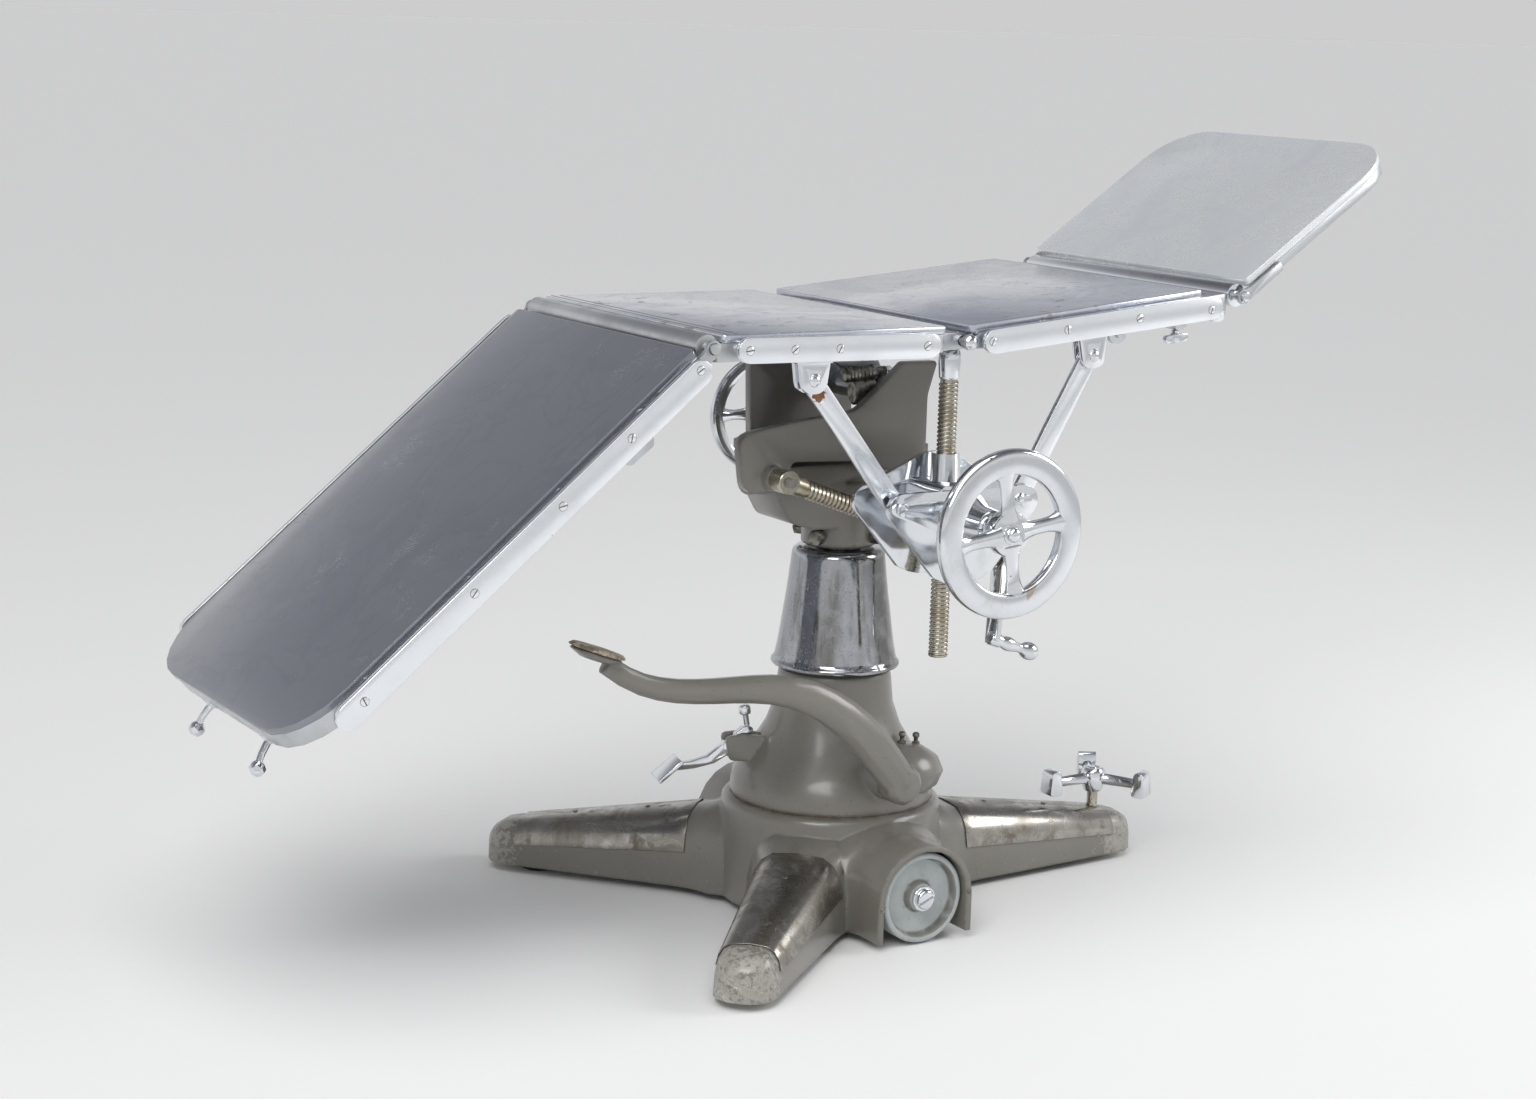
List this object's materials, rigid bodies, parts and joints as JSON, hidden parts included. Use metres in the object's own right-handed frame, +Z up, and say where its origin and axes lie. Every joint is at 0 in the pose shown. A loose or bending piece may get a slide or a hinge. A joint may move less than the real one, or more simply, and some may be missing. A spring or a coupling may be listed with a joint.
{
  "type": "operating table",
  "caption": "Hydraulic operating table with a three-legged cast base, lifting column, tilting top in hinged leg, seat, back and head sections, and a handwheel flex linkage.",
  "frame": {"origin": "centre of the column at the lowest face of the hydraulic cylinder, 10 mm above the floor", "axes": "+Z up, +X from the leg end towards the head end, +Y towards the far side, away from the flex handwheel"},
  "size_m": [1.6487, 0.7268, 1.0471],
  "materials": {
    "base_paint": "warm grey semi-gloss enamel, chipped at the edges",
    "leg_cover_steel": "polished sheet, smudged",
    "sleeve_chrome": "bright, with drip marks",
    "table_sheet": "brushed stainless, stained",
    "leg_panel": "satin to mirror stainless, smeared",
    "head_panel": "brushed stainless, scratched",
    "frame_steel": "satin steel",
    "chrome": "plated, worn",
    "oiled_steel": "oily machined steel",
    "wheel_grey": "hard grey rubber",
    "dark_steel": "dark, dull",
    "worn_tread": "worn tan tread",
    "bolt_steel": "dull steel"
  },
  "bodies": {
    "base": {"base_casting": "base_paint", "leg_cover_left": "leg_cover_steel", "leg_cover_front": "leg_cover_steel", "leg_cover_right": "leg_cover_steel", "foot_pad_left": "dark_steel", "foot_pad_front": "dark_steel", "foot_pad_right": "dark_steel", "column_body": "base_paint", "hydraulic_cylinder": "dark_steel", "wheel_axle_near": "chrome", "wheel_axle_far": "chrome"},
    "wheel_near": {"wheel_near": "wheel_grey"},
    "wheel_far": {"wheel_far": "wheel_grey"},
    "lock_screw": {"lock_screw": "oiled_steel"},
    "lock_handle": {"lock_handle": "chrome"},
    "pump_lever": {"pump_lever": "base_paint", "pump_pad": "worn_tread"},
    "release_pedal": {"release_pedal": "chrome", "release_screw": "chrome"},
    "ram": {"ram": "sleeve_chrome", "column_sleeve": "sleeve_chrome"},
    "turret": {"turret": "base_paint", "clamp_bolt_1": "bolt_steel", "clamp_bolt_2": "bolt_steel", "clamp_bolt_3": "bolt_steel", "clamp_bolt_4": "bolt_steel"},
    "cradle": {"cradle": "base_paint", "side_tilt_pin": "dark_steel", "tilt_pin": "dark_steel"},
    "gear_wheel": {"gear_wheel": "chrome"},
    "tilt_screw": {"tilt_screw": "oiled_steel"},
    "tilt_nut": {"tilt_nut": "oiled_steel"},
    "tilt_crank": {"tilt_crank": "chrome"},
    "seat": {"seat_frame": "frame_steel", "seat_sheet": "table_sheet", "seat_rail_near": "chrome", "seat_rail_far": "chrome", "flex_pin": "chrome", "seat_bracket": "chrome"},
    "leg": {"leg_frame": "frame_steel", "leg_sheet": "leg_panel", "leg_rail_near": "chrome", "leg_rail_far": "chrome"},
    "leg_lever_near": {"leg_lever_near": "chrome"},
    "leg_lever_far": {"leg_lever_far": "chrome"},
    "back": {"back_frame": "frame_steel", "back_sheet": "table_sheet", "back_rail_near": "chrome", "back_rail_far": "chrome", "back_bracket": "chrome"},
    "clamp_screw_near": {"clamp_screw_near": "chrome"},
    "clamp_screw_far": {"clamp_screw_far": "chrome"},
    "head_slide": {"head_slide": "chrome"},
    "head": {"head_frame": "frame_steel", "head_sheet": "head_panel"},
    "flex_rod": {"flex_rod": "oiled_steel"},
    "flex_housing": {"flex_housing": "chrome"},
    "flex_handwheel": {"flex_handwheel": "chrome"},
    "seat_link": {"seat_link": "chrome"},
    "back_link": {"back_link": "chrome"}
  },
  "joints": [
    {"name": "near_wheel_turn", "type": "hinge", "parent": "base", "child": "wheel_near", "pos_m": [0, -0.217, 0.054], "axis": [0, 1, 0], "continuous": true},
    {"name": "far_wheel_turn", "type": "hinge", "parent": "base", "child": "wheel_far", "pos_m": [0, 0.217, 0.054], "axis": [0, 1, 0], "continuous": true},
    {"name": "floor_lock_travel", "type": "slide", "parent": "base", "child": "lock_screw", "axis": [0, 0, 1], "range_m": [0, 0.0092]},
    {"name": "floor_lock_turn", "type": "hinge", "parent": "lock_screw", "child": "lock_handle", "pos_m": [0.457, 0, 0.106], "axis": [0, 0, 1], "range_deg": [0, 1080]},
    {"name": "pump_stroke", "type": "hinge", "parent": "base", "child": "pump_lever", "pos_m": [0, -0.17, 0.194], "axis": [0, -1, 0], "range_deg": [0, 28], "stiffness_Nm_per_rad": 60, "springref_deg": -11.46},
    {"name": "release_tread", "type": "hinge", "parent": "base", "child": "release_pedal", "pos_m": [-0.14199, 0.03805, 0.212], "axis": [-0.2588, -0.9659, 0], "range_deg": [0, 12], "stiffness_Nm_per_rad": 20, "springref_deg": -5.73},
    {"name": "lift", "type": "slide", "parent": "base", "child": "ram", "axis": [0, 0, 1], "range_m": [0, 0.2]},
    {"name": "top_turn", "type": "hinge", "parent": "ram", "child": "turret", "pos_m": [0, 0, 0.5], "axis": [0, 0, 1], "range_deg": [-70, 180]},
    {"name": "side_tilt", "type": "hinge", "parent": "turret", "child": "cradle", "pos_m": [0, 0, 0.59], "axis": [1, 0, 0], "range_deg": [-8, 8]},
    {"name": "side_tilt_wheel", "type": "hinge", "parent": "cradle", "child": "gear_wheel", "pos_m": [0.01, 0.235, 0.636], "axis": [0, 1, 0], "range_deg": [-96, 96]},
    {"name": "tilt", "type": "hinge", "parent": "cradle", "child": "seat", "pos_m": [0.028, 0, 0.706], "axis": [0, -1, 0], "range_deg": [-12, 12]},
    {"name": "tilt_screw_swing", "type": "hinge", "parent": "cradle", "child": "tilt_screw", "pos_m": [-0.17, -0.13, 0.605], "axis": [0, -1, 0], "range_deg": [-4, 4]},
    {"name": "tilt_nut_travel", "type": "slide", "parent": "tilt_screw", "child": "tilt_nut", "axis": [0.9373, 0, -0.3486], "range_m": [-0.036, 0.036]},
    {"name": "tilt_crank_turn", "type": "hinge", "parent": "tilt_screw", "child": "tilt_crank", "pos_m": [0.1759, -0.13, 0.4764], "axis": [0.9373, 0, -0.3486], "range_deg": [-181, 181]},
    {"name": "leg_drop", "type": "hinge", "parent": "seat", "child": "leg", "pos_m": [-0.346, 0, 0.795], "axis": [0, 1, 0], "range_deg": [-20, 39.8]},
    {"name": "near_leg_lever_turn", "type": "hinge", "parent": "leg", "child": "leg_lever_near", "pos_m": [-0.8591, -0.095, 0.34383], "axis": [-0.6401, 0, 0.7683], "range_deg": [-60, 60]},
    {"name": "far_leg_lever_turn", "type": "hinge", "parent": "leg", "child": "leg_lever_far", "pos_m": [-0.8591, 0.095, 0.34383], "axis": [-0.6401, 0, 0.7683], "range_deg": [-60, 60]},
    {"name": "back_flex", "type": "hinge", "parent": "seat", "child": "back", "pos_m": [0.03, 0, 0.79], "axis": [0, -1, 0], "range_deg": [-15, 30]},
    {"name": "near_clamp_screw_turn", "type": "hinge", "parent": "back", "child": "clamp_screw_near", "pos_m": [0.4119, -0.186, 0.7869], "axis": [-0.0924, 0, 0.9957], "range_deg": [-180, 180]},
    {"name": "far_clamp_screw_turn", "type": "hinge", "parent": "back", "child": "clamp_screw_far", "pos_m": [0.4119, 0.186, 0.7869], "axis": [-0.0924, 0, 0.9957], "range_deg": [-180, 180]},
    {"name": "flex_rod_swing", "type": "hinge", "parent": "seat", "child": "flex_rod", "pos_m": [0.03, 0, 0.79], "axis": [0, -1, 0], "range_deg": [-7, 14]},
    {"name": "flex_housing_travel", "type": "slide", "parent": "flex_rod", "child": "flex_housing", "axis": [0, 0, 1], "range_m": [-0.03, 0.06]},
    {"name": "flex_handwheel_turn", "type": "hinge", "parent": "flex_housing", "child": "flex_handwheel", "pos_m": [0.03, -0.358, 0.56], "axis": [0, 1, 0], "range_deg": [-181, 361]},
    {"name": "seat_link_swing", "type": "hinge", "parent": "seat", "child": "seat_link", "pos_m": [-0.199, -0.232, 0.75], "axis": [0, -1, 0], "range_deg": [-8, 16]},
    {"name": "back_link_swing", "type": "hinge", "parent": "back", "child": "back_link", "pos_m": [0.232, -0.232, 0.765], "axis": [0, -1, 0], "range_deg": [-17.2, 8.8]},
    {"name": "head_extend", "type": "slide", "parent": "back", "child": "head_slide", "axis": [0.9957, 0, 0.0924], "range_m": [0, 0.1]},
    {"name": "head_tilt", "type": "hinge", "parent": "head_slide", "child": "head", "pos_m": [0.47895, 0, 0.83617], "axis": [0, -1, 0], "range_deg": [-45, 25]}
  ],
  "couplings": [
    {"joint": "floor_lock_travel", "follows": "floor_lock_turn", "m_per_rad": 0.0004775},
    {"joint": "side_tilt_wheel", "follows": "side_tilt", "ratio": 12},
    {"joint": "tilt_screw_swing", "follows": "tilt", "ratio": 0.297},
    {"joint": "tilt_nut_travel", "follows": "tilt", "m_per_rad": 0.164},
    {"joint": "tilt_crank_turn", "follows": "tilt", "ratio": 15},
    {"joint": "flex_rod_swing", "follows": "back_flex", "ratio": 0.4536},
    {"joint": "flex_housing_travel", "follows": "back_flex", "m_per_rad": 0.1126},
    {"joint": "flex_handwheel_turn", "follows": "back_flex", "ratio": 12},
    {"joint": "seat_link_swing", "follows": "back_flex", "ratio": 0.5126},
    {"joint": "back_link_swing", "follows": "back_flex", "ratio": -0.5641}
  ]
}
